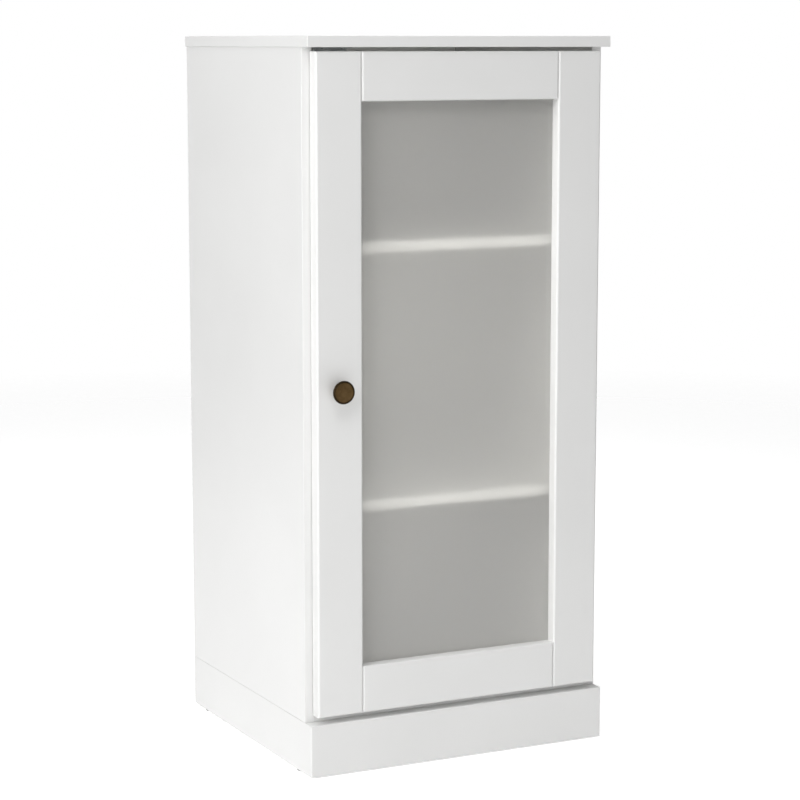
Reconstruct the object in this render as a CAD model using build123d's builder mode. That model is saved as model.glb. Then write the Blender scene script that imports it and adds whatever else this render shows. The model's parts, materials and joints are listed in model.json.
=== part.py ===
from build123d import *
import os

# White storage cabinet: a carcass of 13 mm boards on a plinth, two loose shelves, and one door
# with a frosted pane in a shaker frame, hung on two concealed cup hinges.
# Millimetres. +Z up, front towards -Y. The origin is on the floor, under the middle of the
# whole cabinet's box, knob included.

# ---- driving dimensions ----
HEIGHT = 870.0
WIDTH = 400.0
DEPTH = 376.0
BOARD = 13.0
TOP_OVERHANG = 1.3
EASE = 0.8
SEAM = 0.6

PLINTH_TOP = 64.0
PLINTH_BOARD = 18.0
PLINTH_ARRIS = 1.8
GLIDE_THICK = 1.5
GLIDE_R = 9.0
GLIDE_FROM_END = 40.0
GLIDE_NAIL_R = 1.0
GLIDE_NAIL = 10.0
BLOCK_LEG = 30.0
BLOCK_TOE = 6.0
BLOCK_LOW = 24.0
BLOCK_SCREW_INSET = 14.0
BLOCK_SCREW_R = 1.6
BLOCK_SCREW_GRIP = 9.0
BLOCK_HEAD = (3.8, 2.4)
BLOCK_SUNK = 5.0
BACK_THICK = 2.5
BACK_INSET = 1.0
BACK_TOP_PLAY = 0.3

DOOR_THICK = 16.0
DOOR_SETBACK = 2.4
DOOR_GAP = 1.4
DOOR_INSET = 10.0
DOOR_BOTTOM = 72.5
DOOR_TOP_GAP = 4.7
STILE = 58.5
RAIL = 57.0
DOOR_ARRIS = 2.4
RABBET_WIDTH = 9.0
RABBET_DEPTH = 2.0
GLASS_THICK = 3.0
GLASS_PLAY = 1.0
GLASS_BEVEL = 0.4
DOOR_DOWEL_R = 4.0
DOOR_DOWEL_LENGTH = 30.0
DOOR_DOWEL_BORE = 15.5
DOOR_DOWEL_BACK = 7.4
DOOR_DOWEL_OFFSETS = (-16.0, 16.0)

CLIP_IN = 7.0
CLIP_OUT = 11.0
CLIP_WIDTH = 13.0
CLIP_T = 1.8
CLIP_ROUND = 0.8
CLIP_OVERHANG = 0.5
CLIP_FROM_CORNER = 60.0
CLIP_XS = (-60.0, 60.0)
CLIP_SCREW_X = 6.0
CLIP_SCREW_R = 1.2
CLIP_HEAD = (2.9, 1.6)
CLIP_SCREW_GRIP = 9.0

KNOB_D = 27.4
KNOB_REACH = 20.4
KNOB_FROM_EDGE = 25.5
KNOB_FOOT_R = 4.2
KNOB_NECK_R = 3.4
KNOB_RIM = 0.6
KNOB_SCREW_R = 2.0
KNOB_SCREW_GRIP = 9.0
KNOB_HEAD = (4.0, 2.4)

BUMPER_R = 2.8
BUMPER_PLAY = 0.3
BUMPER_FROM_END = 18.0

SHELF_BOTTOMS = {"lower": 310.5, "upper": 618.5}
SHELF_SETBACK = 12.0
SHELF_SIDE_PLAY = 0.6
SHELF_REAR_PLAY = 2.0
PIN_R = 2.5
PIN_COLUMNS = (70.0, 324.0)
PIN_PITCH = 32.0
PIN_BORE = 8.5
SPADE_T = 1.6
SPADE_WIDTH = 9.0
SPADE_DROP = 6.0
SPADE_REACH = 10.0
SPADE_WEB = 1.8

NAIL_R = 0.7
NAIL_HEAD_R = 2.0
NAIL_HEAD_H = 0.6
NAIL_LENGTH = 12.5
NAIL_HEIGHTS = (110.0, 250.0, 390.0, 530.0, 670.0, 810.0)
NAIL_XS = (-120.0, 0.0, 120.0)
NAIL_PILOT_R = 0.8

SMALL_SCREW_R = 1.5
SMALL_SCREW_GRIP = 9.0
SMALL_HEAD = (3.2, 1.8)

BRACKET_X = 24.0
BRACKET_LEG = 24.0
BRACKET_T = 2.0
BRACKET_CORNER = 5.0
BRACKET_SCREW_X = 14.0
WALL_HOLE_DROP = 14.0
WALL_HOLE_R = 2.75

CAM_R = 6.0
CAM_DEPTH = 9.5
CAM_REACH = 24.0
CAM_MOUTH = 6.2
CAM_RECESS = (7.0, 1.2, 3.0)
CAM_MARK = (1.4, 0.7, 0.8)
CAM_MARK_X = 4.6
CAM_TUNNEL_R = 2.8
BOLT_THREAD_R = 3.0
BOLT_THREAD_DEPTH = 9.0
BOLT_THREAD_LENGTH = 8.5
BOLT_THREAD_PITCH = 1.5
BOLT_LEAD_IN = 1.2
BOLT_TURNS = 5
BOLT_CORE_R = 2.4
BOLT_CREST_R = 2.9
BOLT_BODY_R = 2.5
BOLT_WAIST_R = 1.9
BOLT_WAIST = 7.0
BOLT_BALL_R = 2.7
BOLT_BALL_H = 2.6
JOINT_COLUMNS = (60.0, 315.0)
DOWEL_R = 3.0
DOWEL_LENGTH = 24.0
DOWEL_IN_FACE = 8.5
DOWEL_IN_EDGE = 17.0
DOWEL_COLUMNS = (95.0, 280.0)

HINGE_FROM_END = 90.0
CUP_R = 17.5
CUP_TAB = 3.5
CUP_SCREW_BACK = 6.0
CUP_SCREW_HALF_PITCH = 24.0
CUP_DEPTH = 12.4
CUP_WALL = 0.8
CUP_LIP = 0.5
FLANGE = 1.0
PLATE_LINE = 37.0
PLATE_SCREW_HALF_PITCH = 16.0
PLATE_SCREW_GRIP = 9.5

PLAY = 0.1

# ---- worked-out places ----
# A depth d is measured back from the top board's front edge.
FRONT = -(DEPTH + KNOB_REACH - DOOR_SETBACK) / 2 + KNOB_REACH - DOOR_SETBACK


def at_depth(d):
    return FRONT + d


PANEL_OUT = WIDTH / 2 - TOP_OVERHANG
PANEL_IN = PANEL_OUT - BOARD
PANEL_MID = (PANEL_IN + PANEL_OUT) / 2
TOP_UNDER = HEIGHT - BOARD
DOOR_BACK = DOOR_SETBACK + DOOR_THICK
CARCASS_FRONT = DOOR_BACK + DOOR_GAP
CARCASS_BACK = DEPTH - BACK_THICK
FLOOR_UNDER = PLINTH_TOP
FLOOR_TOP = FLOOR_UNDER + BOARD
LOW_JOINT = FLOOR_UNDER + BOARD / 2
PLINTH_IN = PANEL_OUT - PLINTH_BOARD
PLINTH_FRONT_IN = DOOR_SETBACK + PLINTH_BOARD
PLINTH_BACK_IN = CARCASS_BACK - PLINTH_BOARD

DOOR_EDGE = PANEL_OUT - DOOR_INSET
DOOR_TOP = TOP_UNDER - DOOR_TOP_GAP
OPEN_X = DOOR_EDGE - STILE
OPEN_LOW = DOOR_BOTTOM + RAIL
OPEN_HIGH = DOOR_TOP - RAIL
GLASS_FRONT = DOOR_BACK - RABBET_DEPTH
GLASS_BACK = GLASS_FRONT + GLASS_THICK
DOOR_MID = (DOOR_BOTTOM + DOOR_TOP) / 2

HINGE_HEIGHTS = {"lower": DOOR_BOTTOM + HINGE_FROM_END, "upper": DOOR_TOP - HINGE_FROM_END}
CUP_X = DOOR_EDGE - CUP_TAB - CUP_R
CUP_SCREW_X = CUP_X - CUP_SCREW_BACK
PLATE_D = CARCASS_FRONT + PLATE_LINE
# The link turns about the toe of the arm, inside the cup; its far end is carried by the cup.
TOE_X, TOE_D = 181.6, 8.7
CUP_PIN_X, CUP_PIN_D = 158.0, 11.0

LEFT, RIGHT = (-1, 0, 0), (1, 0, 0)
FORWARD, BACKWARD = (0, -1, 0), (0, 1, 0)
UP, DOWN = (0, 0, 1), (0, 0, -1)
INNER_END = (Align.CENTER, Align.CENTER, Align.MAX)
OUTER_END = (Align.CENTER, Align.CENTER, Align.MIN)

os.makedirs("parts", exist_ok=True)


# ---- helpers, used inside a part's own block ----
def slab(x0, x1, d0, d1, z0, z1, mode=Mode.ADD):
    """A box between two values on each axis, with depths from the top board's front edge."""
    with Locations(((x0 + x1) / 2, at_depth((d0 + d1) / 2), (z0 + z1) / 2)):
        Box(abs(x1 - x0), d1 - d0, z1 - z0, mode=mode)


def facing(x, d, z, direction, along=None):
    """A place whose local +Z points along direction, and whose local +X points along the other."""
    return Location(Plane(origin=(x, at_depth(d), z), x_dir=along, z_dir=direction))


def bore(places, radius, depth):
    """Round holes that go inwards from their mouths, against each place's direction."""
    with Locations(*places):
        Cylinder(radius, depth, align=INNER_END, mode=Mode.SUBTRACT)


def make_screw(shank_r, length, head_r, head_h):
    """A pan-head screw with a cross recess: head above local Z = 0, shank below."""
    with BuildPart() as screw:
        Cylinder(shank_r, length, align=INNER_END)
        Cylinder(head_r, head_h, align=OUTER_END)
        rim = screw.edges().filter_by(GeomType.CIRCLE).sort_by(Axis.Z)[-1]
        fillet(rim, min(head_h * 0.6, head_r * 0.4))
        point = screw.edges().filter_by(GeomType.CIRCLE).sort_by(Axis.Z)[0]
        chamfer(point, shank_r * 0.5)
        with Locations((0, 0, head_h)):
            Box(head_r * 1.1, head_r * 0.26, head_h * 1.1, mode=Mode.SUBTRACT)
            Box(head_r * 0.26, head_r * 1.1, head_h * 1.1, mode=Mode.SUBTRACT)
    return screw.part


def make_nail(shank_r, length, head_r, head_h):
    with BuildPart() as nail:
        Cylinder(shank_r, length, align=INNER_END)
        Cylinder(head_r, head_h, align=OUTER_END)
    return nail.part


def make_dowel(radius, length):
    """A dowel along local Z, centred, with bevelled ends."""
    with BuildPart() as dowel:
        Cylinder(radius, length)
        chamfer(dowel.edges().filter_by(GeomType.CIRCLE), radius * 0.25)
    return dowel.part


def make_cam():
    """A cam lock: its slotted face at local Z = 0, the bolt's way in along local +X."""
    with BuildPart() as cam:
        Cylinder(CAM_R, CAM_DEPTH, align=INNER_END)
        chamfer(cam.edges().filter_by(GeomType.CIRCLE), 0.4)
        with Locations((0, 0, -BOARD / 2)):
            Cylinder(CAM_MOUTH / 2, CAM_MOUTH, mode=Mode.SUBTRACT)
            with Locations((CAM_R, 0, 0)):
                Box(2 * CAM_R, CAM_MOUTH, CAM_MOUTH, mode=Mode.SUBTRACT)
        Box(*CAM_RECESS, mode=Mode.SUBTRACT)
        Box(CAM_RECESS[1], CAM_RECESS[0], CAM_RECESS[2], mode=Mode.SUBTRACT)
        with Locations((-CAM_MARK_X, 0, 0)):
            Box(*CAM_MARK, mode=Mode.SUBTRACT)
    return cam.part


def make_cam_bolt():
    """A cam bolt: the threaded end above local Z = 0, the ball end CAM_REACH below."""
    with BuildPart() as bolt:
        Cylinder(BOLT_CORE_R, BOLT_THREAD_LENGTH, align=OUTER_END)
        for turn in range(BOLT_TURNS):
            with Locations((0, 0, BOLT_LEAD_IN + BOLT_THREAD_PITCH * turn)):
                Cone(BOLT_CORE_R, BOLT_CREST_R, BOLT_THREAD_PITCH / 3, align=OUTER_END)
        Cylinder(BOLT_WAIST_R, CAM_REACH, align=INNER_END)
        Cylinder(BOLT_BODY_R, CAM_REACH - BOLT_WAIST, align=INNER_END)
        with Locations((0, 0, -CAM_REACH)):
            Cylinder(BOLT_BALL_R, BOLT_BALL_H, align=OUTER_END)
    return bolt.part


# ---- carcass: top board ----
with BuildPart() as top_board:
    slab(-WIDTH / 2, WIDTH / 2, 0, DEPTH, TOP_UNDER, HEIGHT)
    fillet(top_board.edges(), EASE)
    bolt_places = [facing(s * PANEL_MID, d, TOP_UNDER, DOWN) for s in (-1, 1) for d in JOINT_COLUMNS]
    bore(bolt_places, BOLT_THREAD_R, BOLT_THREAD_DEPTH)
    dowel_places = [facing(s * PANEL_MID, d, TOP_UNDER, DOWN) for s in (-1, 1) for d in DOWEL_COLUMNS]
    bore(dowel_places, DOWEL_R + PLAY, DOWEL_IN_FACE)
    bracket_line = CARCASS_BACK - BRACKET_LEG / 2
    bracket_screw_places = [facing(s * BRACKET_SCREW_X, bracket_line, TOP_UNDER, DOWN) for s in (-1, 1)]
    bore(bracket_screw_places, SMALL_SCREW_R + PLAY, SMALL_SCREW_GRIP + 0.5)
top_board.part.label = "top_board"
export_step(top_board.part, "parts/top_board.step")

# ---- carcass: side panels ----
for side, side_name in ((-1, "left"), (1, "right")):
    inward = (-side, 0, 0)
    with BuildPart() as side_panel:
        slab(side * PANEL_IN, side * PANEL_OUT, CARCASS_FRONT, CARCASS_BACK, PLINTH_TOP, TOP_UNDER)
        fillet(side_panel.faces().sort_by(Axis.Y)[0].edges().filter_by(Axis.Z), EASE)
        low_edges = side_panel.faces().sort_by(Axis.Z)[0].edges().sort_by(Axis.X)
        chamfer(low_edges[-1 if side > 0 else 0], SEAM)
        cam_mouths = [facing(side * PANEL_IN, d, TOP_UNDER - CAM_REACH, inward) for d in JOINT_COLUMNS]
        bore(cam_mouths, CAM_R + PLAY, CAM_DEPTH + PLAY)
        bolt_tunnels = [facing(side * PANEL_MID, d, TOP_UNDER, UP) for d in JOINT_COLUMNS]
        bore(bolt_tunnels, CAM_TUNNEL_R, CAM_REACH)
        top_dowels = [facing(side * PANEL_MID, d, TOP_UNDER, UP) for d in DOWEL_COLUMNS]
        bore(top_dowels, DOWEL_R + PLAY, DOWEL_IN_EDGE)
        low_bolts = [facing(side * PANEL_IN, d, LOW_JOINT, inward) for d in JOINT_COLUMNS]
        bore(low_bolts, BOLT_THREAD_R, BOLT_THREAD_DEPTH)
        low_dowels = [facing(side * PANEL_IN, d, LOW_JOINT, inward) for d in DOWEL_COLUMNS]
        bore(low_dowels, DOWEL_R + PLAY, DOWEL_IN_FACE)
        pin_mouths = [
            facing(side * PANEL_IN, d, bottom - PIN_R + step * PIN_PITCH, inward)
            for bottom in SHELF_BOTTOMS.values()
            for d in PIN_COLUMNS
            for step in (-1, 0, 1)
        ]
        bore(pin_mouths, PIN_R + PLAY, PIN_BORE)
        nail_mouths = [facing(side * PANEL_MID, CARCASS_BACK, z, BACKWARD) for z in NAIL_HEIGHTS]
        bore(nail_mouths, NAIL_PILOT_R, NAIL_LENGTH - BACK_THICK + 1.0)
        if side > 0:
            plate_screws = [
                facing(PANEL_IN, PLATE_D, z + dz, inward)
                for z in HINGE_HEIGHTS.values()
                for dz in (-PLATE_SCREW_HALF_PITCH, PLATE_SCREW_HALF_PITCH)
            ]
            bore(plate_screws, SMALL_SCREW_R + PLAY, PLATE_SCREW_GRIP + 1.0)
    side_panel.part.label = side_name + "_side_panel"
    export_step(side_panel.part, "parts/" + side_name + "_side_panel.step")

# ---- carcass: bottom panel ----
CAM_X = PANEL_IN - CAM_REACH
with BuildPart() as bottom_panel:
    slab(-PANEL_IN, PANEL_IN, CARCASS_FRONT, CARCASS_BACK, FLOOR_UNDER, FLOOR_TOP)
    fillet(bottom_panel.faces().sort_by(Axis.Y)[0].edges().filter_by(Axis.X), EASE)
    cam_mouths = [facing(s * CAM_X, d, FLOOR_UNDER, DOWN) for s in (-1, 1) for d in JOINT_COLUMNS]
    bore(cam_mouths, CAM_R + PLAY, CAM_DEPTH + PLAY)
    for side in (-1, 1):
        outward = (side, 0, 0)
        bolt_tunnels = [facing(side * PANEL_IN, d, LOW_JOINT, outward) for d in JOINT_COLUMNS]
        bore(bolt_tunnels, CAM_TUNNEL_R, CAM_REACH)
        end_dowels = [facing(side * PANEL_IN, d, LOW_JOINT, outward) for d in DOWEL_COLUMNS]
        bore(end_dowels, DOWEL_R + PLAY, DOWEL_IN_EDGE)
    nail_mouths = [facing(x, CARCASS_BACK, LOW_JOINT, BACKWARD) for x in NAIL_XS]
    bore(nail_mouths, NAIL_PILOT_R, NAIL_LENGTH - BACK_THICK + 1.0)
    block_screws = [
        facing(sx * (PLINTH_IN - BLOCK_SCREW_INSET), d, FLOOR_UNDER, DOWN)
        for sx in (-1, 1)
        for d in (PLINTH_FRONT_IN + BLOCK_SCREW_INSET, PLINTH_BACK_IN - BLOCK_SCREW_INSET)
    ]
    bore(block_screws, BLOCK_SCREW_R + PLAY, BLOCK_SCREW_GRIP + 1.0)
bottom_panel.part.label = "bottom_panel"
export_step(bottom_panel.part, "parts/bottom_panel.step")

# ---- carcass: back panel, with the wall screw's hole ----
WALL_HOLE_Z = TOP_UNDER - WALL_HOLE_DROP
nail_places = [
    *[facing(s * PANEL_MID, DEPTH, z, BACKWARD) for s in (-1, 1) for z in NAIL_HEIGHTS],
    *[facing(x, DEPTH, LOW_JOINT, BACKWARD) for x in NAIL_XS],
]
with BuildPart() as back_panel:
    reach = PANEL_OUT - BACK_INSET
    slab(-reach, reach, CARCASS_BACK, DEPTH, PLINTH_TOP + BACK_INSET, TOP_UNDER - BACK_TOP_PLAY)
    bore([facing(0, DEPTH, WALL_HOLE_Z, BACKWARD)], WALL_HOLE_R, BACK_THICK)
    bore(nail_places, NAIL_R + PLAY, BACK_THICK)
    bore(nail_places, NAIL_HEAD_R + PLAY, NAIL_HEAD_H)
back_panel.part.label = "back_panel"
export_step(back_panel.part, "parts/back_panel.step")

nail = make_nail(NAIL_R, NAIL_LENGTH, NAIL_HEAD_R, NAIL_HEAD_H)
with BuildPart() as back_panel_nails:
    with Locations(*[place * Pos(0, 0, -NAIL_HEAD_H) for place in nail_places]):
        add(nail)
back_panel_nails.part.label = "back_panel_nails"
export_step(back_panel_nails.part, "parts/back_panel_nails.step")

# ---- carcass: wall bracket under the top board ----
with BuildPart() as wall_bracket:
    slab(-BRACKET_X, BRACKET_X, CARCASS_BACK - BRACKET_T, CARCASS_BACK, TOP_UNDER - BRACKET_LEG, TOP_UNDER)
    slab(-BRACKET_X, BRACKET_X, CARCASS_BACK - BRACKET_LEG, CARCASS_BACK, TOP_UNDER - BRACKET_T, TOP_UNDER)
    fillet(wall_bracket.faces().sort_by(Axis.Y)[0].edges().filter_by(Axis.Z), BRACKET_CORNER)
    fillet(wall_bracket.faces().sort_by(Axis.Z)[0].edges().filter_by(Axis.Y), BRACKET_CORNER)
    bore([facing(0, CARCASS_BACK - BRACKET_T, WALL_HOLE_Z, FORWARD)], WALL_HOLE_R, BRACKET_T)
    bore([place * Pos(0, 0, BRACKET_T) for place in bracket_screw_places], SMALL_SCREW_R + PLAY, BRACKET_T)
wall_bracket.part.label = "wall_bracket"
export_step(wall_bracket.part, "parts/wall_bracket.step")

bracket_screw = make_screw(SMALL_SCREW_R, BRACKET_T + SMALL_SCREW_GRIP, *SMALL_HEAD)
with BuildPart() as wall_bracket_screws:
    with Locations(*[place * Pos(0, 0, BRACKET_T) for place in bracket_screw_places]):
        add(bracket_screw)
wall_bracket_screws.part.label = "wall_bracket_screws"
export_step(wall_bracket_screws.part, "parts/wall_bracket_screws.step")

# ---- carcass: knock-down fittings ----
cam = make_cam()
cam_bolt = make_cam_bolt()
with BuildPart() as upper_cam_locks:
    with Locations(
        *[
            facing(s * PANEL_IN, d, TOP_UNDER - CAM_REACH, (-s, 0, 0), UP)
            for s in (-1, 1)
            for d in JOINT_COLUMNS
        ]
    ):
        add(cam)
upper_cam_locks.part.label = "upper_cam_locks"
export_step(upper_cam_locks.part, "parts/upper_cam_locks.step")

with BuildPart() as upper_cam_bolts:
    with Locations(*[facing(s * PANEL_MID, d, TOP_UNDER, UP) for s in (-1, 1) for d in JOINT_COLUMNS]):
        add(cam_bolt)
upper_cam_bolts.part.label = "upper_cam_bolts"
export_step(upper_cam_bolts.part, "parts/upper_cam_bolts.step")

with BuildPart() as lower_cam_locks:
    with Locations(
        *[facing(s * CAM_X, d, FLOOR_UNDER, DOWN, (s, 0, 0)) for s in (-1, 1) for d in JOINT_COLUMNS]
    ):
        add(cam)
lower_cam_locks.part.label = "lower_cam_locks"
export_step(lower_cam_locks.part, "parts/lower_cam_locks.step")

with BuildPart() as lower_cam_bolts:
    with Locations(*[facing(s * PANEL_IN, d, LOW_JOINT, (s, 0, 0)) for s in (-1, 1) for d in JOINT_COLUMNS]):
        add(cam_bolt)
lower_cam_bolts.part.label = "lower_cam_bolts"
export_step(lower_cam_bolts.part, "parts/lower_cam_bolts.step")

carcass_dowel = make_dowel(DOWEL_R, DOWEL_LENGTH)
DOWEL_SHIFT = (DOWEL_IN_EDGE - DOWEL_IN_FACE) / 2
with BuildPart() as carcass_dowels:
    with Locations(
        *[facing(s * PANEL_MID, d, TOP_UNDER - DOWEL_SHIFT, UP) for s in (-1, 1) for d in DOWEL_COLUMNS],
        *[facing(s * (PANEL_IN - DOWEL_SHIFT), d, LOW_JOINT, RIGHT) for s in (-1, 1) for d in DOWEL_COLUMNS],
    ):
        add(carcass_dowel)
carcass_dowels.part.label = "carcass_dowels"
export_step(carcass_dowels.part, "parts/carcass_dowels.step")

# ---- loose shelves and their pins ----
SHELF_X = PANEL_IN - SHELF_SIDE_PLAY
for shelf_name, bottom in SHELF_BOTTOMS.items():
    with BuildPart() as shelf:
        front, rear = CARCASS_FRONT + SHELF_SETBACK, CARCASS_BACK - SHELF_REAR_PLAY
        slab(-SHELF_X, SHELF_X, front, rear, bottom, bottom + BOARD)
        fillet(shelf.faces().sort_by(Axis.Y)[0].edges(), EASE)
    shelf.part.label = shelf_name + "_shelf"
    export_step(shelf.part, "parts/" + shelf_name + "_shelf.step")

with BuildPart() as shelf_pin:
    # Local +Z points into the cabinet, local +X points up; the shelf rests on the spade.
    Cylinder(PIN_R, PIN_BORE - 0.5, align=INNER_END)
    chamfer(shelf_pin.edges().filter_by(GeomType.CIRCLE).sort_by(Axis.Z)[0], PIN_R / 4)
    with Locations((PIN_R - SPADE_DROP / 2, 0, 0)):
        Box(SPADE_DROP, SPADE_WIDTH, SPADE_T, align=OUTER_END)
    with Locations((PIN_R - SPADE_T / 2, 0, 0)):
        Box(SPADE_T, SPADE_WIDTH, SPADE_REACH, align=OUTER_END)
    with BuildSketch(Plane.XZ):
        with BuildLine():
            web_top = PIN_R - SPADE_T / 2
            Polyline((web_top, 1.0), (PIN_R - SPADE_DROP, 1.0), (web_top, SPADE_REACH - 2.0), close=True)
        make_face()
    extrude(amount=SPADE_WEB / 2, both=True)
for shelf_name, bottom in SHELF_BOTTOMS.items():
    with BuildPart() as shelf_pins:
        with Locations(
            *[
                facing(s * PANEL_IN, d, bottom - PIN_R, (-s, 0, 0), UP)
                for s in (-1, 1)
                for d in PIN_COLUMNS
            ]
        ):
            add(shelf_pin.part)
    shelf_pins.part.label = shelf_name + "_shelf_pins"
    export_step(shelf_pins.part, "parts/" + shelf_name + "_shelf_pins.step")

# ---- plinth: mitred front corners, back board between the sides ----
with BuildPart() as plinth_form:
    slab(-PANEL_OUT, PANEL_OUT, DOOR_SETBACK, CARCASS_BACK, GLIDE_THICK, PLINTH_TOP)
    front_edges = plinth_form.faces().sort_by(Axis.Y)[0].edges()
    top_front_edge = front_edges.filter_by(Axis.X).sort_by(Axis.Z)[-1:]
    fillet(front_edges.filter_by(Axis.Z) + top_front_edge, PLINTH_ARRIS)

plinth_plans = {
    "plinth_front_board": (
        (-PANEL_OUT, DOOR_SETBACK),
        (PANEL_OUT, DOOR_SETBACK),
        (PLINTH_IN, PLINTH_FRONT_IN),
        (-PLINTH_IN, PLINTH_FRONT_IN),
    ),
    "plinth_left_board": (
        (-PANEL_OUT, DOOR_SETBACK),
        (-PLINTH_IN, PLINTH_FRONT_IN),
        (-PLINTH_IN, CARCASS_BACK),
        (-PANEL_OUT, CARCASS_BACK),
    ),
    "plinth_right_board": (
        (PANEL_OUT, DOOR_SETBACK),
        (PLINTH_IN, PLINTH_FRONT_IN),
        (PLINTH_IN, CARCASS_BACK),
        (PANEL_OUT, CARCASS_BACK),
    ),
    "plinth_back_board": (
        (-PLINTH_IN, PLINTH_BACK_IN),
        (PLINTH_IN, PLINTH_BACK_IN),
        (PLINTH_IN, CARCASS_BACK),
        (-PLINTH_IN, CARCASS_BACK),
    ),
}
glide_places = [
    facing(s * (PANEL_OUT - PLINTH_BOARD / 2), d, GLIDE_THICK, DOWN)
    for s in (-1, 1)
    for d in (DOOR_SETBACK + GLIDE_FROM_END, CARCASS_BACK - GLIDE_FROM_END)
]
for board_name, plan in plinth_plans.items():
    with BuildPart() as plinth_board:
        with BuildSketch(Plane.XY):
            with BuildLine():
                Polyline(*[(x, at_depth(d)) for x, d in plan], close=True)
            make_face()
        extrude(amount=PLINTH_TOP)
        add(plinth_form.part, mode=Mode.INTERSECT)
        if board_name in ("plinth_left_board", "plinth_right_board"):
            bore(glide_places, GLIDE_NAIL_R + PLAY, GLIDE_NAIL + 1.0)
    plinth_board.part.label = board_name
    export_step(plinth_board.part, "parts/" + board_name + ".step")

BLOCK_HEIGHT = PLINTH_TOP - BLOCK_LOW
with BuildPart() as plinth_corner_blocks:
    with BuildSketch(Plane.XY.offset(BLOCK_LOW)):
        for sx in (-1, 1):
            for d, sd in ((PLINTH_FRONT_IN, 1), (PLINTH_BACK_IN, -1)):
                with BuildLine():
                    Polyline(
                        (sx * PLINTH_IN, at_depth(d)),
                        (sx * (PLINTH_IN - BLOCK_LEG), at_depth(d)),
                        (sx * (PLINTH_IN - BLOCK_LEG), at_depth(d + sd * BLOCK_TOE)),
                        (sx * (PLINTH_IN - BLOCK_TOE), at_depth(d + sd * BLOCK_LEG)),
                        (sx * PLINTH_IN, at_depth(d + sd * BLOCK_LEG)),
                        close=True,
                    )
                make_face()
    extrude(amount=BLOCK_HEIGHT)
    block_mouths = [place * Pos(0, 0, BLOCK_HEIGHT) for place in block_screws]
    bore(block_mouths, BLOCK_SCREW_R + 4 * PLAY, BLOCK_HEIGHT)
    bore(block_mouths, BLOCK_HEAD[0] + 4 * PLAY, BLOCK_SUNK + 1.0)
plinth_corner_blocks.part.label = "plinth_corner_blocks"
export_step(plinth_corner_blocks.part, "parts/plinth_corner_blocks.step")

plinth_screw = make_screw(BLOCK_SCREW_R, BLOCK_HEIGHT - BLOCK_SUNK - 1.0 + BLOCK_SCREW_GRIP, *BLOCK_HEAD)
with BuildPart() as plinth_screws:
    with Locations(*[place * Pos(0, 0, -BLOCK_SUNK - 1.0) for place in block_mouths]):
        add(plinth_screw)
plinth_screws.part.label = "plinth_screws"
export_step(plinth_screws.part, "parts/plinth_screws.step")

with BuildPart() as glides:
    with Locations(*glide_places):
        Cylinder(GLIDE_R, GLIDE_THICK, align=OUTER_END)
    fillet(glides.edges().filter_by(GeomType.CIRCLE).group_by(Axis.Z)[0], GLIDE_THICK / 2)
    with Locations(*glide_places):
        Cylinder(GLIDE_NAIL_R, GLIDE_NAIL, align=INNER_END)
glides.part.label = "glides"
export_step(glides.part, "parts/glides.step")

# ---- door frame: stiles full height, rails between them ----
DOWEL_D = DOOR_SETBACK + DOOR_DOWEL_BACK
KNOB_X = -DOOR_EDGE + KNOB_FROM_EDGE
rail_middles = (DOOR_BOTTOM + RAIL / 2, DOOR_TOP - RAIL / 2)
door_dowel_heights = [z + dz for z in rail_middles for dz in DOOR_DOWEL_OFFSETS]
cup_screw_places = [
    facing(CUP_SCREW_X, DOOR_BACK, z + dz, BACKWARD)
    for z in HINGE_HEIGHTS.values()
    for dz in (-CUP_SCREW_HALF_PITCH, CUP_SCREW_HALF_PITCH)
]
clip_heights = (OPEN_LOW + CLIP_FROM_CORNER, DOOR_MID, OPEN_HIGH - CLIP_FROM_CORNER)
CLIP_LINE_X = OPEN_X + RABBET_WIDTH
# Local +Z points out of the door's back, local +X from the pane towards the frame.
clip_places = [
    *[facing(s * CLIP_LINE_X, DOOR_BACK, z, BACKWARD, (s, 0, 0)) for s in (-1, 1) for z in clip_heights],
    *[facing(x, DOOR_BACK, OPEN_HIGH + RABBET_WIDTH, BACKWARD, UP) for x in CLIP_XS],
    *[facing(x, DOOR_BACK, OPEN_LOW - RABBET_WIDTH, BACKWARD, DOWN) for x in CLIP_XS],
]
clip_screw_mouths = [place * Pos(CLIP_SCREW_X, 0, 0) for place in clip_places]


def round_front_edges(member):
    fillet(member.faces().sort_by(Axis.Y)[0].edges(), DOOR_ARRIS)


for side, stile_name in ((-1, "door_left_stile"), (1, "door_right_stile")):
    with BuildPart() as stile:
        slab(side * OPEN_X, side * DOOR_EDGE, DOOR_SETBACK, DOOR_BACK, DOOR_BOTTOM, DOOR_TOP)
        round_front_edges(stile)
        slab(
            side * (OPEN_X - 1),
            side * CLIP_LINE_X,
            GLASS_FRONT,
            DOOR_BACK + 1,
            OPEN_LOW - RABBET_WIDTH,
            OPEN_HIGH + RABBET_WIDTH,
            mode=Mode.SUBTRACT,
        )
        stile_dowels = [facing(side * OPEN_X, DOWEL_D, z, (-side, 0, 0)) for z in door_dowel_heights]
        bore(stile_dowels, DOOR_DOWEL_R + PLAY, DOOR_DOWEL_BORE)
        stile_clip_screws = [place for place in clip_screw_mouths if place.position.X * side > OPEN_X]
        bore(stile_clip_screws, CLIP_SCREW_R + PLAY, CLIP_SCREW_GRIP + 0.5)
        if side < 0:
            bore([facing(KNOB_X, DOOR_BACK, DOOR_MID, BACKWARD)], KNOB_SCREW_R + 2 * PLAY, DOOR_THICK)
        else:
            cup_mouths = [facing(CUP_X, DOOR_BACK, z, BACKWARD) for z in HINGE_HEIGHTS.values()]
            bore(cup_mouths, CUP_R + PLAY, CUP_DEPTH + PLAY)
            bore(cup_screw_places, SMALL_SCREW_R + PLAY, SMALL_SCREW_GRIP + 1.0)
    stile.part.label = stile_name
    export_step(stile.part, "parts/" + stile_name + ".step")

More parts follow.
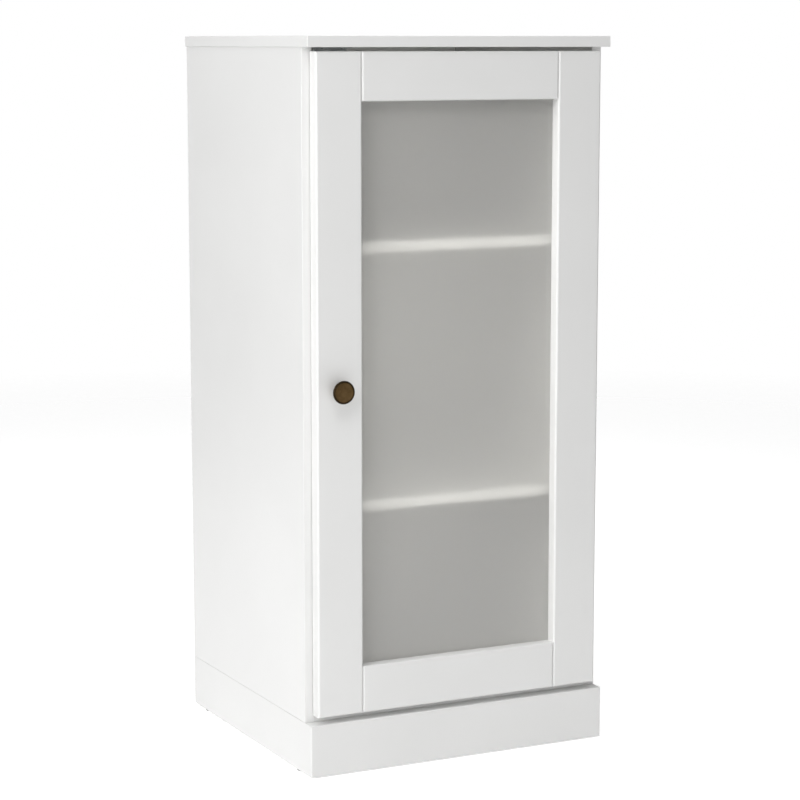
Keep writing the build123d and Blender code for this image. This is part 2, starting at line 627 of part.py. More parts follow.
for rail_name, z0, z1, rabbet in (
    ("door_bottom_rail", DOOR_BOTTOM, OPEN_LOW, (OPEN_LOW - RABBET_WIDTH, OPEN_LOW + 1)),
    ("door_top_rail", OPEN_HIGH, DOOR_TOP, (OPEN_HIGH - 1, OPEN_HIGH + RABBET_WIDTH)),
):
    with BuildPart() as rail:
        slab(-OPEN_X, OPEN_X, DOOR_SETBACK, DOOR_BACK, z0, z1)
        round_front_edges(rail)
        slab(-OPEN_X, OPEN_X, GLASS_FRONT, DOOR_BACK + 1, *rabbet, mode=Mode.SUBTRACT)
        rail_dowels = [
            facing(s * OPEN_X, DOWEL_D, (z0 + z1) / 2 + dz, (s, 0, 0))
            for s in (-1, 1)
            for dz in DOOR_DOWEL_OFFSETS
        ]
        bore(rail_dowels, DOOR_DOWEL_R + PLAY, DOOR_DOWEL_BORE)
        rail_clip_screws = [
            place
            for place in clip_screw_mouths
            if z0 < place.position.Z < z1 and abs(place.position.X) < OPEN_X
        ]
        bore(rail_clip_screws, CLIP_SCREW_R + PLAY, CLIP_SCREW_GRIP + 0.5)
    rail.part.label = rail_name
    export_step(rail.part, "parts/" + rail_name + ".step")

door_dowel = make_dowel(DOOR_DOWEL_R, DOOR_DOWEL_LENGTH)
with BuildPart() as door_dowels:
    with Locations(*[facing(s * OPEN_X, DOWEL_D, z, RIGHT) for s in (-1, 1) for z in door_dowel_heights]):
        add(door_dowel)
door_dowels.part.label = "door_dowels"
export_step(door_dowels.part, "parts/door_dowels.step")

# ---- frosted pane, a little proud of the door's back, and its clips ----
PANE_X = OPEN_X + RABBET_WIDTH - GLASS_PLAY
with BuildPart() as frosted_glass:
    slab(
        -PANE_X,
        PANE_X,
        GLASS_FRONT,
        GLASS_BACK,
        OPEN_LOW - RABBET_WIDTH + GLASS_PLAY,
        OPEN_HIGH + RABBET_WIDTH - GLASS_PLAY,
    )
    chamfer(frosted_glass.edges(), GLASS_BEVEL)
frosted_glass.part.label = "frosted_glass"
export_step(frosted_glass.part, "parts/frosted_glass.step")

CLIP_LIFT = GLASS_BACK - DOOR_BACK
CLIP_TOP = CLIP_LIFT + CLIP_T
STEP_X = CLIP_OVERHANG - GLASS_PLAY
with BuildPart() as clip:
    with BuildSketch(Plane.XY):
        with Locations(((CLIP_OUT - CLIP_IN) / 2, 0)):
            RectangleRounded(CLIP_IN + CLIP_OUT, CLIP_WIDTH, CLIP_WIDTH / 4)
    extrude(amount=CLIP_TOP)
    fillet(clip.faces().sort_by(Axis.Z)[-1].edges(), CLIP_ROUND)
    with Locations((STEP_X - CLIP_OUT, 0, 0)):
        Box(2 * CLIP_OUT, 2 * CLIP_WIDTH, 2 * CLIP_LIFT, mode=Mode.SUBTRACT)
    bore([Location((CLIP_SCREW_X, 0, CLIP_TOP))], CLIP_SCREW_R + PLAY, CLIP_TOP)
with BuildPart() as glass_clips:
    with Locations(*clip_places):
        add(clip.part)
glass_clips.part.label = "glass_clips"
export_step(glass_clips.part, "parts/glass_clips.step")

clip_screw = make_screw(CLIP_SCREW_R, CLIP_TOP + CLIP_SCREW_GRIP, *CLIP_HEAD)
with BuildPart() as glass_clip_screws:
    with Locations(*[place * Pos(0, 0, CLIP_TOP) for place in clip_screw_mouths]):
        add(clip_screw)
glass_clip_screws.part.label = "glass_clip_screws"
export_step(glass_clip_screws.part, "parts/glass_clip_screws.step")

# ---- knob: a round foot, a slim neck and a flat disc with a raised rim ----
KNOB_R = KNOB_D / 2
knob_plane = Plane(origin=(KNOB_X, at_depth(DOOR_SETBACK), DOOR_MID), x_dir=RIGHT, z_dir=DOWN)
# The turned profile: the radius, then the distance in front of the door.
foot_edge = (KNOB_FOOT_R, 0.8)
foot_top = (KNOB_FOOT_R - 0.6, 1.9)
neck_end = (KNOB_NECK_R, 9.0)
disc_back = (KNOB_R - 1.2, KNOB_REACH - 3.6)
rim_outside = (KNOB_R - 0.9, KNOB_REACH - 0.2)
rim_inside = (KNOB_R - 2.1, KNOB_REACH - KNOB_RIM)
with BuildPart() as knob:
    with BuildSketch(knob_plane):
        with BuildLine():
            Polyline((0, 0), (KNOB_FOOT_R, 0), foot_edge)
            ThreePointArc(foot_edge, (KNOB_FOOT_R - 0.2, 1.5), foot_top)
            ThreePointArc(foot_top, (KNOB_NECK_R - 0.1, 5.5), neck_end)
            ThreePointArc(neck_end, (KNOB_R - 7.3, 13.9), disc_back)
            ThreePointArc(disc_back, (KNOB_R, KNOB_REACH - 2.0), rim_outside)
            ThreePointArc(rim_outside, (KNOB_R - 1.5, KNOB_REACH), rim_inside)
            Polyline(rim_inside, (0, KNOB_REACH - KNOB_RIM), (0, 0))
        make_face()
    revolve(axis=Axis((KNOB_X, 0, DOOR_MID), (0, 1, 0)))
    bore([facing(KNOB_X, DOOR_SETBACK, DOOR_MID, BACKWARD)], KNOB_SCREW_R + PLAY, KNOB_SCREW_GRIP + 1.0)
knob.part.label = "knob"
export_step(knob.part, "parts/knob.step")

knob_bolt = make_screw(KNOB_SCREW_R, DOOR_THICK + KNOB_SCREW_GRIP, *KNOB_HEAD)
with BuildPart() as knob_screw:
    with Locations(facing(KNOB_X, DOOR_BACK, DOOR_MID, BACKWARD)):
        add(knob_bolt)
knob_screw.part.label = "knob_screw"
export_step(knob_screw.part, "parts/knob_screw.step")

bumper_heights = (DOOR_BOTTOM + BUMPER_FROM_END, DOOR_TOP - BUMPER_FROM_END)
with BuildPart() as door_bumpers:
    with Locations(*[facing(-PANEL_IN, DOOR_BACK, z, BACKWARD) for z in bumper_heights]):
        Cylinder(BUMPER_R, DOOR_GAP - BUMPER_PLAY, align=OUTER_END)
    fillet(door_bumpers.edges().filter_by(GeomType.CIRCLE).group_by(Axis.Y)[-1], (DOOR_GAP - BUMPER_PLAY) / 2)
door_bumpers.part.label = "door_bumpers"
export_step(door_bumpers.part, "parts/door_bumpers.step")

# ---- concealed hinges ----
WING_T = 2.0
WING_SIZE = (46.0, 17.0)
SPINE_T = 8.0
SPINE_LENGTH = 36.0
SPINE_Z = 6.0
CHANNEL_IN = 6.4
CHANNEL_OUT = 7.9
WEB_X = 170.0
WEB_T = 1.5
WEB_FRONT = 27.0
CHANNEL_FRONT = 36.0
CHANNEL_X = 181.5
ARM_END = PLATE_D + 24.0
NECK_X = 176.2
NECK_END = 30.0
TONGUE_Z = 2.5
FORK_IN = 2.8
FORK_OUT = 4.2
FORK_CLEAR = 4.0
FORK_REACH = 14.0
TOE_R = 1.6
HINGE_PIN_R = 1.0
PIN_PLAY = 0.05
TOE_PIN_LENGTH = 9.4
CUP_PIN_R = 1.3
CUP_PIN_LENGTH = 15.4
FLANGE_SIZE = (60.0, 13.0)
ARM_SCREW_R = 2.4
ARM_SCREW_GRIP = 10.0
ARM_HEAD = (4.2, 2.2)
ARM_SCREW_DEPTHS = (PLATE_D - 11.0, PLATE_D + 9.0)

# The link runs from the toe's pin to the cup's pin, in a straight line seen from above.
LINK_DX = CUP_PIN_X - TOE_X
LINK_DD = CUP_PIN_D - TOE_D
LINK_LENGTH = (LINK_DX**2 + LINK_DD**2) ** 0.5


def on_link(run, rise):
    """A point run along the link from the toe's pin, and rise across it towards the door's front."""
    x = TOE_X + (run * LINK_DX - rise * LINK_DD) / LINK_LENGTH
    d = TOE_D + (run * LINK_DD + rise * LINK_DX) / LINK_LENGTH
    return (x, at_depth(d))


for level, z in HINGE_HEIGHTS.items():
    with BuildPart() as hinge_plate:
        with BuildSketch(Plane(origin=(PANEL_IN, at_depth(PLATE_D), z), x_dir=UP, z_dir=LEFT)):
            RectangleRounded(*WING_SIZE, WING_SIZE[1] / 3)
        extrude(amount=WING_T)
        spine_top = PANEL_IN - SPINE_T - WING_T
        front, rear = PLATE_D - SPINE_LENGTH / 2, PLATE_D + SPINE_LENGTH / 2
        slab(spine_top, PANEL_IN - WING_T, front, rear, z - SPINE_Z, z + SPINE_Z)
        fillet(hinge_plate.faces().sort_by(Axis.X)[0].edges(), EASE)
        wing_heights = (z - PLATE_SCREW_HALF_PITCH, z + PLATE_SCREW_HALF_PITCH)
        wing_mouths = [facing(PANEL_IN - WING_T, PLATE_D, h, LEFT) for h in wing_heights]
        bore(wing_mouths, SMALL_SCREW_R + PLAY, WING_T)
        bore([facing(spine_top, d, z, LEFT) for d in ARM_SCREW_DEPTHS], ARM_SCREW_R + PLAY, SPINE_T)
    hinge_plate.part.label = level + "_hinge_plate"
    export_step(hinge_plate.part, "parts/" + level + "_hinge_plate.step")

    with BuildPart() as hinge_arm:
        slab(WEB_X, WEB_X + WEB_T, WEB_FRONT, ARM_END, z - CHANNEL_OUT, z + CHANNEL_OUT)
        slab(WEB_X, CHANNEL_X, CHANNEL_FRONT, ARM_END, z + CHANNEL_IN, z + CHANNEL_OUT)
        slab(WEB_X, CHANNEL_X, CHANNEL_FRONT, ARM_END, z - CHANNEL_OUT, z - CHANNEL_IN)
        rear_edges = hinge_arm.edges().filter_by(Axis.X).group_by(Axis.Y)[-1].sort_by(Axis.Z)
        fillet([rear_edges[0], rear_edges[-1]], EASE)
        with BuildSketch(Plane.XY.offset(z - TONGUE_Z)):
            with BuildLine():
                Polyline(
                    (TOE_X, at_depth(TOE_D + TOE_R)),
                    (NECK_X + 1.4, at_depth(TOE_D + TOE_R)),
                    (NECK_X, at_depth(TOE_D + TOE_R + 2.5)),
                    (NECK_X, at_depth(NECK_END)),
                    (WEB_X + WEB_T, at_depth(CHANNEL_FRONT)),
                    (WEB_X, at_depth(CHANNEL_FRONT)),
                    (WEB_X, at_depth(WEB_FRONT - 3.0)),
                    (WEB_X + WEB_T, at_depth(TOE_D + 2 * TOE_R)),
                    (WEB_X + 3.5, at_depth(TOE_D - TOE_R)),
                    (TOE_X, at_depth(TOE_D - TOE_R)),
                )
                ThreePointArc(
                    (TOE_X, at_depth(TOE_D - TOE_R)),
                    (TOE_X + TOE_R, at_depth(TOE_D)),
                    (TOE_X, at_depth(TOE_D + TOE_R)),
                )
            make_face()
        extrude(amount=2 * TONGUE_Z)
        bore([facing(WEB_X, d, z, LEFT) for d in ARM_SCREW_DEPTHS], ARM_SCREW_R + PLAY, WEB_T)
        with Locations((TOE_X, at_depth(TOE_D), z)):
            Cylinder(HINGE_PIN_R + PIN_PLAY, 4 * TONGUE_Z, mode=Mode.SUBTRACT)
    hinge_arm.part.label = level + "_hinge_arm"
    export_step(hinge_arm.part, "parts/" + level + "_hinge_arm.step")

    with BuildPart() as hinge_cup:
        with Locations(facing(CUP_X, DOOR_BACK, z, BACKWARD)):
            Cylinder(CUP_R, CUP_DEPTH, align=INNER_END)
        with BuildSketch(Plane(origin=(CUP_SCREW_X, at_depth(DOOR_BACK), z), x_dir=UP, z_dir=BACKWARD)):
            RectangleRounded(*FLANGE_SIZE, 5.0)
        extrude(amount=FLANGE)
        with Locations(facing(CUP_X, DOOR_BACK, z, BACKWARD)):
            Cylinder(CUP_R + CUP_LIP, FLANGE, align=OUTER_END)
        with Locations(facing(CUP_X, DOOR_BACK + FLANGE, z, BACKWARD)):
            Cylinder(CUP_R - CUP_WALL, CUP_DEPTH + FLANGE - CUP_WALL, align=INNER_END, mode=Mode.SUBTRACT)
        flange_heights = (z - CUP_SCREW_HALF_PITCH, z + CUP_SCREW_HALF_PITCH)
        flange_mouths = [facing(CUP_SCREW_X, DOOR_BACK + FLANGE, h, BACKWARD) for h in flange_heights]
        bore(flange_mouths, SMALL_SCREW_R + PLAY, FLANGE)
    hinge_cup.part.label = level + "_hinge_cup"
    export_step(hinge_cup.part, "parts/" + level + "_hinge_cup.step")

    # The link is a fork that straddles the arm's tongue and carries both of its pins.
    with BuildPart() as hinge_link:
        with BuildSketch(Plane.XY.offset(z - FORK_OUT)):
            with BuildLine():
                far_high, far_low = on_link(LINK_LENGTH, TOE_R), on_link(LINK_LENGTH, -TOE_R)
                near_high, near_low = on_link(0, TOE_R), on_link(0, -TOE_R)
                Line(near_high, far_high)
                ThreePointArc(far_high, on_link(LINK_LENGTH + TOE_R, 0), far_low)
                Line(far_low, near_low)
                ThreePointArc(near_low, on_link(-TOE_R, 0), near_high)
            make_face()
        extrude(amount=2 * FORK_OUT)
        with BuildSketch(Plane.XY.offset(z - FORK_IN)):
            with BuildLine():
                fork_corners = [
                    on_link(-FORK_CLEAR, FORK_CLEAR),
                    on_link(FORK_REACH, FORK_CLEAR),
                    on_link(FORK_REACH, -FORK_CLEAR),
                    on_link(-FORK_CLEAR, -FORK_CLEAR),
                ]
                Polyline(*fork_corners, close=True)
            make_face()
        extrude(amount=2 * FORK_IN, mode=Mode.SUBTRACT)
        with Locations((TOE_X, at_depth(TOE_D), z)):
            Cylinder(HINGE_PIN_R, TOE_PIN_LENGTH)
        with Locations((*on_link(LINK_LENGTH, 0), z)):
            Cylinder(CUP_PIN_R, CUP_PIN_LENGTH)
    hinge_link.part.label = level + "_hinge_link"
    export_step(hinge_link.part, "parts/" + level + "_hinge_link.step")

plate_screw = make_screw(SMALL_SCREW_R, WING_T + PLATE_SCREW_GRIP, *SMALL_HEAD)
with BuildPart() as hinge_plate_screws:
    with Locations(*[place * Pos(0, 0, WING_T) for place in plate_screws]):
        add(plate_screw)
hinge_plate_screws.part.label = "hinge_plate_screws"
export_step(hinge_plate_screws.part, "parts/hinge_plate_screws.step")

arm_screw = make_screw(ARM_SCREW_R, WEB_T + ARM_SCREW_GRIP, *ARM_HEAD)
with BuildPart() as hinge_arm_screws:
    with Locations(*[facing(WEB_X, d, z, LEFT) for z in HINGE_HEIGHTS.values() for d in ARM_SCREW_DEPTHS]):
        add(arm_screw)
hinge_arm_screws.part.label = "hinge_arm_screws"
export_step(hinge_arm_screws.part, "parts/hinge_arm_screws.step")

cup_screw = make_screw(SMALL_SCREW_R, FLANGE + SMALL_SCREW_GRIP, *SMALL_HEAD)
with BuildPart() as hinge_cup_screws:
    with Locations(*[place * Pos(0, 0, FLANGE) for place in cup_screw_places]):
        add(cup_screw)
hinge_cup_screws.part.label = "hinge_cup_screws"
export_step(hinge_cup_screws.part, "parts/hinge_cup_screws.step")
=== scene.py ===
import json
import math

import bpy
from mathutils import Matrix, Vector


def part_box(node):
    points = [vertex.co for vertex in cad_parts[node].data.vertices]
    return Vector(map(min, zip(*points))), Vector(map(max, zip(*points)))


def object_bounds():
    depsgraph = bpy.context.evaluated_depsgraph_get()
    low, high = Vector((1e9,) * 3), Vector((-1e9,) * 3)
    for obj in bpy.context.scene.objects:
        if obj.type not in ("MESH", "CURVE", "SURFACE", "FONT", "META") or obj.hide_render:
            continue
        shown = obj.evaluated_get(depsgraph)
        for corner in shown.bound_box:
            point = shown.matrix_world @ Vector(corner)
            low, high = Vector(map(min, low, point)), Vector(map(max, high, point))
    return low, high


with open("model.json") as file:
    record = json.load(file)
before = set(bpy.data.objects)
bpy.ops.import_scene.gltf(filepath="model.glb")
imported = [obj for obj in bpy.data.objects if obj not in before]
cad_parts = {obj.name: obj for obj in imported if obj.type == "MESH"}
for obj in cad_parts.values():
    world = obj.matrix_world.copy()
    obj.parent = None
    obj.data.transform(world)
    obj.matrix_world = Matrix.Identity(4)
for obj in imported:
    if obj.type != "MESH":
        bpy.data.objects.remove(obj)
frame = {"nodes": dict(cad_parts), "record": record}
CAD_LOW, CAD_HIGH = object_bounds()
CENTRE = (CAD_LOW + CAD_HIGH) / 2

# ---- camera: front left and a little above, with the lens in millimetres ----
CAMERA_AZIMUTH = math.radians(26.48)
CAMERA_PITCH = math.radians(8.47)
CAMERA_DISTANCE = 3.0302
CAMERA_LENS = 108.44
SENSOR_WIDTH = 36.0
AIM_OFFSET = Vector((0.0039, -0.0049, -0.0176))

# ---- lights: name, place, size in metres, power in watts ----
SOFTBOXES = (
    ("key_softbox", Vector((-2.7, -1.0, 1.6)), 2.0, 61.0),
    ("top_softbox", Vector((0.0, 0.4, 3.0)), 3.0, 60.0),
    ("front_softbox", Vector((-0.6, -3.5, 0.45)), 1.5, 23.0),
    ("front_top_softbox", Vector((-0.9, -1.6, 2.3)), 0.9, 13.0),
)
AMBIENT = 0.12  # the sky's strength as light
FLOOR_RADIUS = 9.0
FLOOR_FADE = (1.4, 3.4)  # metres from the middle, over which the floor turns clear
FLOOR_GLOW = 0.05  # the floor's own light on the cabinet
FLOOR_LIFT = 0.52  # the same as the camera sees it


# ---- node helpers ----
def new_material(name):
    material = bpy.data.materials.new(name)
    material.use_nodes = True
    return material, material.node_tree, material.node_tree.nodes["Principled BSDF"]


def node(tree, kind, inputs=(), **settings):
    """A shader node: settings are its properties, and inputs give a value or a socket for each input."""
    made = tree.nodes.new(kind)
    for key, value in settings.items():
        setattr(made, key, value)
    for key, value in dict(inputs).items():
        if isinstance(value, bpy.types.NodeSocket):
            tree.links.new(value, made.inputs[key])
        else:
            made.inputs[key].default_value = value
    return made


def place_coordinates(tree, scale=(1.0, 1.0, 1.0), origin=(0.0, 0.0, 0.0)):
    """The row frame's coordinates in metres, from an origin, then stretched."""
    source = node(tree, "ShaderNodeTexCoord").outputs["Object"]
    moved = node(tree, "ShaderNodeVectorMath", {0: source, 1: tuple(origin)}, operation="SUBTRACT").outputs[0]
    return node(tree, "ShaderNodeVectorMath", {0: moved, 1: scale}, operation="MULTIPLY").outputs[0]


def noise(tree, vector, scale, detail=2.0, roughness=0.5, distortion=0.0):
    values = {
        "Vector": vector,
        "Scale": scale,
        "Detail": detail,
        "Roughness": roughness,
        "Distortion": distortion,
    }
    return node(tree, "ShaderNodeTexNoise", values).outputs["Fac"]


def spread(tree, value, low, high, start=0.3, end=0.7):
    """A value from start to end, spread evenly between low and high."""
    inputs = {"Value": value, "From Min": start, "From Max": end, "To Min": low, "To Max": high}
    return node(tree, "ShaderNodeMapRange", inputs).outputs["Result"]


def two_colours(tree, value, first, second, start=0.3, end=0.7):
    ramp = node(tree, "ShaderNodeValToRGB", {"Fac": value})
    ramp.color_ramp.elements[0].position = start
    ramp.color_ramp.elements[0].color = (*first, 1.0)
    ramp.color_ramp.elements[1].position = end
    ramp.color_ramp.elements[1].color = (*second, 1.0)
    return ramp.outputs["Color"]


def mixed_colour(tree, share, first, second):
    made = node(tree, "ShaderNodeMix", {"Factor": share}, data_type="RGBA")
    for key, value in ((6, first), (7, second)):
        if isinstance(value, bpy.types.NodeSocket):
            tree.links.new(value, made.inputs[key])
        else:
            made.inputs[key].default_value = (*value, 1.0)
    return made.outputs[2]


def bumped(tree, shader, height, strength, distance, before=None):
    made = node(tree, "ShaderNodeBump", {"Height": height, "Strength": strength, "Distance": distance})
    if before is not None:
        tree.links.new(before, made.inputs["Normal"])
    tree.links.new(made.outputs["Normal"], shader.inputs["Normal"])
    return made.outputs["Normal"]


def total(tree, first, second, share=1.0):
    scaled = node(tree, "ShaderNodeMath", {0: second, 1: share}, operation="MULTIPLY").outputs[0]
    return node(tree, "ShaderNodeMath", {0: first, 1: scaled}, operation="ADD").outputs[0]


def facing_share(tree, axis, start, end):
    """From 0 to 1 as the surface turns to face a way along one axis of the row frame."""
    normal = node(tree, "ShaderNodeTexCoord").outputs["Normal"]
    parts = node(tree, "ShaderNodeSeparateXYZ", {0: normal})
    return spread(tree, parts.outputs[axis], 0.0, 1.0, start, end)


def let_lamps_through(tree, shader, tint):
    """Lamps reach what is behind the glass, which Cycles would otherwise leave in its shadow."""
    clear = node(tree, "ShaderNodeBsdfTransparent", {"Color": (*tint, 1.0)})
    shadow = node(tree, "ShaderNodeLightPath").outputs["Is Shadow Ray"]
    mix = node(tree, "ShaderNodeMixShader", {0: shadow, 1: shader.outputs[0], 2: clear.outputs[0]})
    tree.links.new(mix.outputs[0], tree.nodes["Material Output"].inputs["Surface"])


# ---- materials, one for each slot of the record ----
GLASS_TINT = (0.92, 0.915, 0.90)
KNOB_RIM = 0.80  # where the dark rim starts, as a share of the knob's radius
RIM_PATINA = 0.92
TURNING_MARKS = 9000.0  # radians a metre


def white_lacquer():
    """Satin white, with faint clouds and the slight waves of a sprayed coat."""
    material, tree, shader = new_material("white_lacquer")
    place = place_coordinates(tree)
    cloud = noise(tree, place, 5.0, 3.0)
    white = two_colours(tree, cloud, (0.778, 0.778, 0.770), (0.802, 0.802, 0.794))
    tree.links.new(white, shader.inputs["Base Color"])
    sheen = total(tree, noise(tree, place, 14.0, 4.0), noise(tree, place, 260.0, 2.0), 0.35)
    tree.links.new(spread(tree, sheen, 0.30, 0.40, 0.45, 0.85), shader.inputs["Roughness"])
    shader.inputs["Coat Weight"].default_value = 0.25
    shader.inputs["Coat Roughness"].default_value = 0.16
    wave = bumped(tree, shader, noise(tree, place, 9.0, 1.0), 0.10, 0.004)
    bumped(tree, shader, noise(tree, place, 620.0, 2.0), 0.05, 0.0004, wave)
    return material


def white_hardboard():
    """White inside, bare brown fibreboard on its outer face and round its edges."""
    material, tree, shader = new_material("white_hardboard")
    place = place_coordinates(tree)
    fibres = noise(tree, place_coordinates(tree, (1.0, 1.0, 0.45)), 900.0, 4.0, 0.7)
    flecks = noise(tree, place, 170.0, 6.0, 0.8)
    speckle = total(tree, fibres, flecks, 0.8)
    brown = two_colours(tree, speckle, (0.19, 0.112, 0.060), (0.33, 0.210, 0.125), 0.65, 1.2)
    white = two_colours(tree, noise(tree, place, 12.0, 3.0), (0.72, 0.72, 0.71), (0.76, 0.76, 0.755))
    inner = facing_share(tree, 1, -0.9, -0.99)
    tree.links.new(mixed_colour(tree, inner, brown, white), shader.inputs["Base Color"])
    tree.links.new(spread(tree, inner, 0.78, 0.45, 0.0, 1.0), shader.inputs["Roughness"])
    bumped(tree, shader, fibres, 0.25, 0.0003)
    return material


def raw_wood():
    """Bare wood, its grain drawn out along the height."""
    material, tree, shader = new_material("raw_wood")
    grain_place = place_coordinates(tree, (1.0, 1.0, 0.08))
    rings = node(
        tree,
        "ShaderNodeTexWave",
        {"Vector": grain_place, "Scale": 60.0, "Distortion": 6.0, "Detail": 3.0, "Detail Scale": 1.6},
        bands_direction="X",
    ).outputs["Fac"]
    fibres = noise(tree, place_coordinates(tree, (1.0, 1.0, 0.05)), 1500.0, 3.0)
    tone = total(tree, rings, fibres, 0.5)
    wood = two_colours(tree, tone, (0.56, 0.37, 0.19), (0.74, 0.57, 0.36), 0.2, 1.2)
    tree.links.new(wood, shader.inputs["Base Color"])
    tree.links.new(spread(tree, fibres, 0.55, 0.75), shader.inputs["Roughness"])
    bumped(tree, shader, fibres, 0.2, 0.0002)
    return material


def frosted_glass():
    """Glossy in front, acid-etched on its back face."""
    material, tree, shader = new_material("frosted_glass")
    place = place_coordinates(tree)
    low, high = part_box("frosted_glass")
    thickness = high.y - low.y
    depth = node(tree, "ShaderNodeSeparateXYZ", {0: place}).outputs["Y"]
    etched = spread(tree, depth, 0.0, 1.0, low.y + thickness * 0.4, low.y + thickness * 0.6)
    grain = spread(tree, noise(tree, place, 40.0, 3.0), 0.61, 0.64)
    roughness = node(tree, "ShaderNodeMix", {"Factor": etched, 2: 0.12, 3: grain}).outputs[0]
    tree.links.new(roughness, shader.inputs["Roughness"])
    shader.inputs["Base Color"].default_value = (0.95, 0.945, 0.925, 1.0)
    shader.inputs["Transmission Weight"].default_value = 0.86
    shader.inputs["IOR"].default_value = 1.5
    let_lamps_through(tree, shader, GLASS_TINT)
    return material


def antique_bronze():
    """Brown on the knob's flat face, nearly black round its rim, where the patina gathers."""
    material, tree, shader = new_material("antique_bronze")
    low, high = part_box("knob")
    middle = (low + high) / 2
    flat_place = place_coordinates(tree, (1.0, 0.0, 1.0), middle)
    radius = node(tree, "ShaderNodeVectorMath", {0: flat_place}, operation="LENGTH").outputs["Value"]
    place = place_coordinates(tree)
    patina = noise(tree, place, 160.0, 5.0, 0.65, 0.4)
    face = two_colours(tree, patina, (0.098, 0.058, 0.021), (0.190, 0.119, 0.051))
    rim_start = (high.x - middle.x) * KNOB_RIM
    rim = spread(tree, radius, 0.0, RIM_PATINA, rim_start, rim_start * 1.08)
    tree.links.new(mixed_colour(tree, rim, face, (0.022, 0.014, 0.006)), shader.inputs["Base Color"])
    rings = node(tree, "ShaderNodeMath", {0: radius, 1: TURNING_MARKS}, operation="MULTIPLY").outputs[0]
    turned = node(tree, "ShaderNodeMath", {0: rings}, operation="SINE").outputs[0]
    tree.links.new(spread(tree, patina, 0.30, 0.50), shader.inputs["Roughness"])
    shader.inputs["Metallic"].default_value = 0.9
    bumped(tree, shader, total(tree, patina, turned, 0.25), 0.12, 0.0002)
    return material


def plated_metal(name, tone, roughness, spangle):
    """Nickel or zinc plate: fine drawn lines, with faint crystals on zinc."""
    material, tree, shader = new_material(name)
    lines = noise(tree, place_coordinates(tree, (1.0, 1.0, 6.0)), 900.0, 3.0)
    crystals = {"Vector": place_coordinates(tree), "Scale": 420.0}
    cells = node(tree, "ShaderNodeTexVoronoi", crystals).outputs["Color"]
    shade = node(tree, "ShaderNodeSeparateColor", {0: cells}).outputs[0]
    value = total(tree, lines, shade, spangle)
    darker = tuple(part * 0.80 for part in tone)
    tree.links.new(two_colours(tree, value, darker, tone, 0.3, 0.7 + spangle), shader.inputs["Base Color"])
    tree.links.new(spread(tree, value, roughness - 0.07, roughness + 0.09), shader.inputs["Roughness"])
    shader.inputs["Metallic"].default_value = 1.0
    bumped(tree, shader, lines, 0.06, 0.0001)
    return material


def moulded(name, first, second, roughness, transmission=0.0):
    """Plastic or rubber with a faint moulded grain."""
    material, tree, shader = new_material(name)
    grain = noise(tree, place_coordinates(tree), 1400.0, 3.0)
    tree.links.new(two_colours(tree, grain, first, second), shader.inputs["Base Color"])
    tree.links.new(spread(tree, grain, roughness - 0.06, roughness + 0.06), shader.inputs["Roughness"])
    shader.inputs["Transmission Weight"].default_value = transmission
    bumped(tree, shader, grain, 0.15, 0.0001)
    return material


materials = {
    "white_lacquer": white_lacquer(),
    "white_hardboard": white_hardboard(),
    "raw_wood": raw_wood(),
    "frosted_glass": frosted_glass(),
    "antique_bronze": antique_bronze(),
    "black_plastic": moulded("black_plastic", (0.022, 0.022, 0.023), (0.036, 0.036, 0.037), 0.5),
    "clear_plastic": moulded("clear_plastic", (0.78, 0.78, 0.75), (0.86, 0.86, 0.84), 0.28, 0.35),
    "clear_rubber": moulded("clear_rubber", (0.76, 0.76, 0.74), (0.84, 0.84, 0.82), 0.42, 0.6),
    "nickel_steel": plated_metal("nickel_steel", (0.68, 0.66, 0.62), 0.27, 0.0),
    "zinc": plated_metal("zinc", (0.58, 0.60, 0.62), 0.42, 0.3),
}
for entry in frame["record"]["subparts"]:
    piece = frame["nodes"][entry["node"]]
    piece.data.materials.clear()
    piece.data.materials.append(materials[entry["material_slot"]])


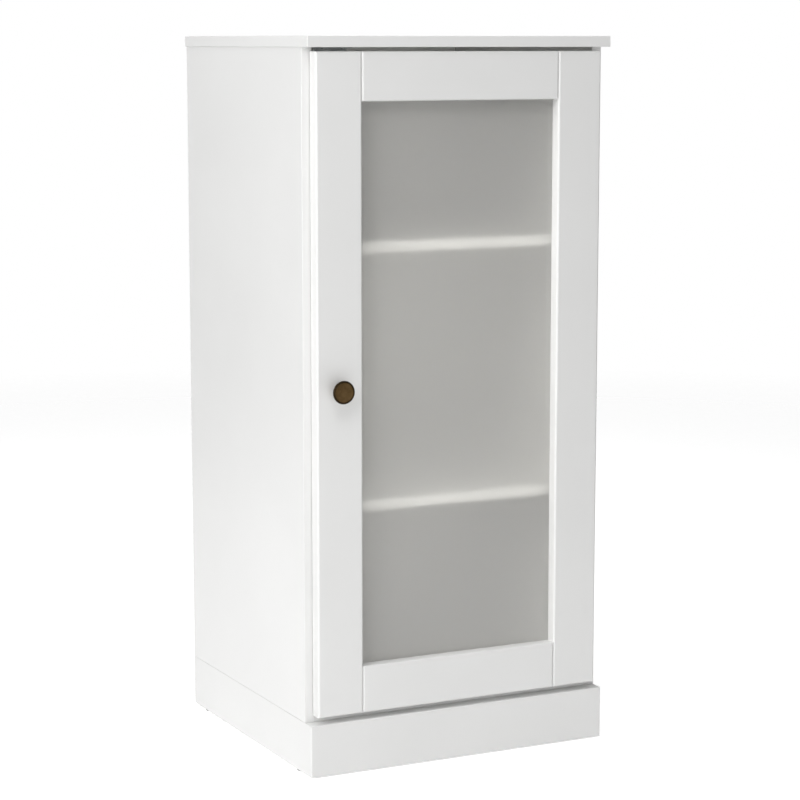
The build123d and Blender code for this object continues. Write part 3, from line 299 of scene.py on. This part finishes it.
# ---- floor, lights and camera ----
def make_floor():
    """A pale disc that fades out into the white behind it."""
    bpy.ops.mesh.primitive_circle_add(vertices=96, radius=FLOOR_RADIUS, fill_type="NGON")
    floor = bpy.context.object
    floor.name = "studio_floor"
    material, tree, shader = new_material("studio_floor")
    shader.inputs["Base Color"].default_value = (0.93, 0.93, 0.93, 1.0)
    shader.inputs["Roughness"].default_value = 0.9
    shader.inputs["Emission Color"].default_value = (1.0, 1.0, 1.0, 1.0)
    place = place_coordinates(tree)
    away = node(tree, "ShaderNodeVectorMath", {0: place}, operation="LENGTH").outputs["Value"]
    tree.links.new(spread(tree, away, 1.0, 0.0, *FLOOR_FADE), shader.inputs["Alpha"])
    seen = node(tree, "ShaderNodeLightPath").outputs["Is Camera Ray"]
    tree.links.new(spread(tree, seen, FLOOR_GLOW, FLOOR_LIFT, 0.0, 1.0), shader.inputs["Emission Strength"])
    floor.data.materials.append(material)


def make_softbox(name, place, size, power):
    """A square area light that points at the cabinet's middle."""
    light = bpy.data.lights.new(name, "AREA")
    light.shape = "SQUARE"
    light.size = size
    light.energy = power
    made = bpy.data.objects.new(name, light)
    made.location = place
    made.rotation_mode = "QUATERNION"
    made.rotation_quaternion = (CENTRE - place).to_track_quat("-Z", "Y")
    bpy.context.scene.collection.objects.link(made)


def make_world():
    """An even white sky: full white behind the cabinet, softer as light."""
    world = bpy.data.worlds.new("studio")
    bpy.context.scene.world = world
    world.use_nodes = True
    tree = world.node_tree
    background = tree.nodes["Background"]
    background.inputs["Color"].default_value = (1.0, 1.0, 1.0, 1.0)
    seen = node(tree, "ShaderNodeLightPath").outputs["Is Camera Ray"]
    tree.links.new(spread(tree, seen, AMBIENT, 1.0, 0.0, 1.0), background.inputs["Strength"])


def make_camera():
    camera = bpy.data.cameras.new("camera")
    camera.lens = CAMERA_LENS
    camera.sensor_width = SENSOR_WIDTH
    made = bpy.data.objects.new("camera", camera)
    forward = Vector(
        (
            math.sin(CAMERA_AZIMUTH) * math.cos(CAMERA_PITCH),
            math.cos(CAMERA_AZIMUTH) * math.cos(CAMERA_PITCH),
            -math.sin(CAMERA_PITCH),
        )
    )
    made.location = CENTRE + AIM_OFFSET - forward * CAMERA_DISTANCE
    made.rotation_mode = "QUATERNION"
    made.rotation_quaternion = forward.to_track_quat("-Z", "Y")
    bpy.context.scene.collection.objects.link(made)
    bpy.context.scene.camera = made


make_floor()
for softbox in SOFTBOXES:
    make_softbox(*softbox)
make_world()
make_camera()
bpy.context.scene.view_settings.view_transform = "Standard"
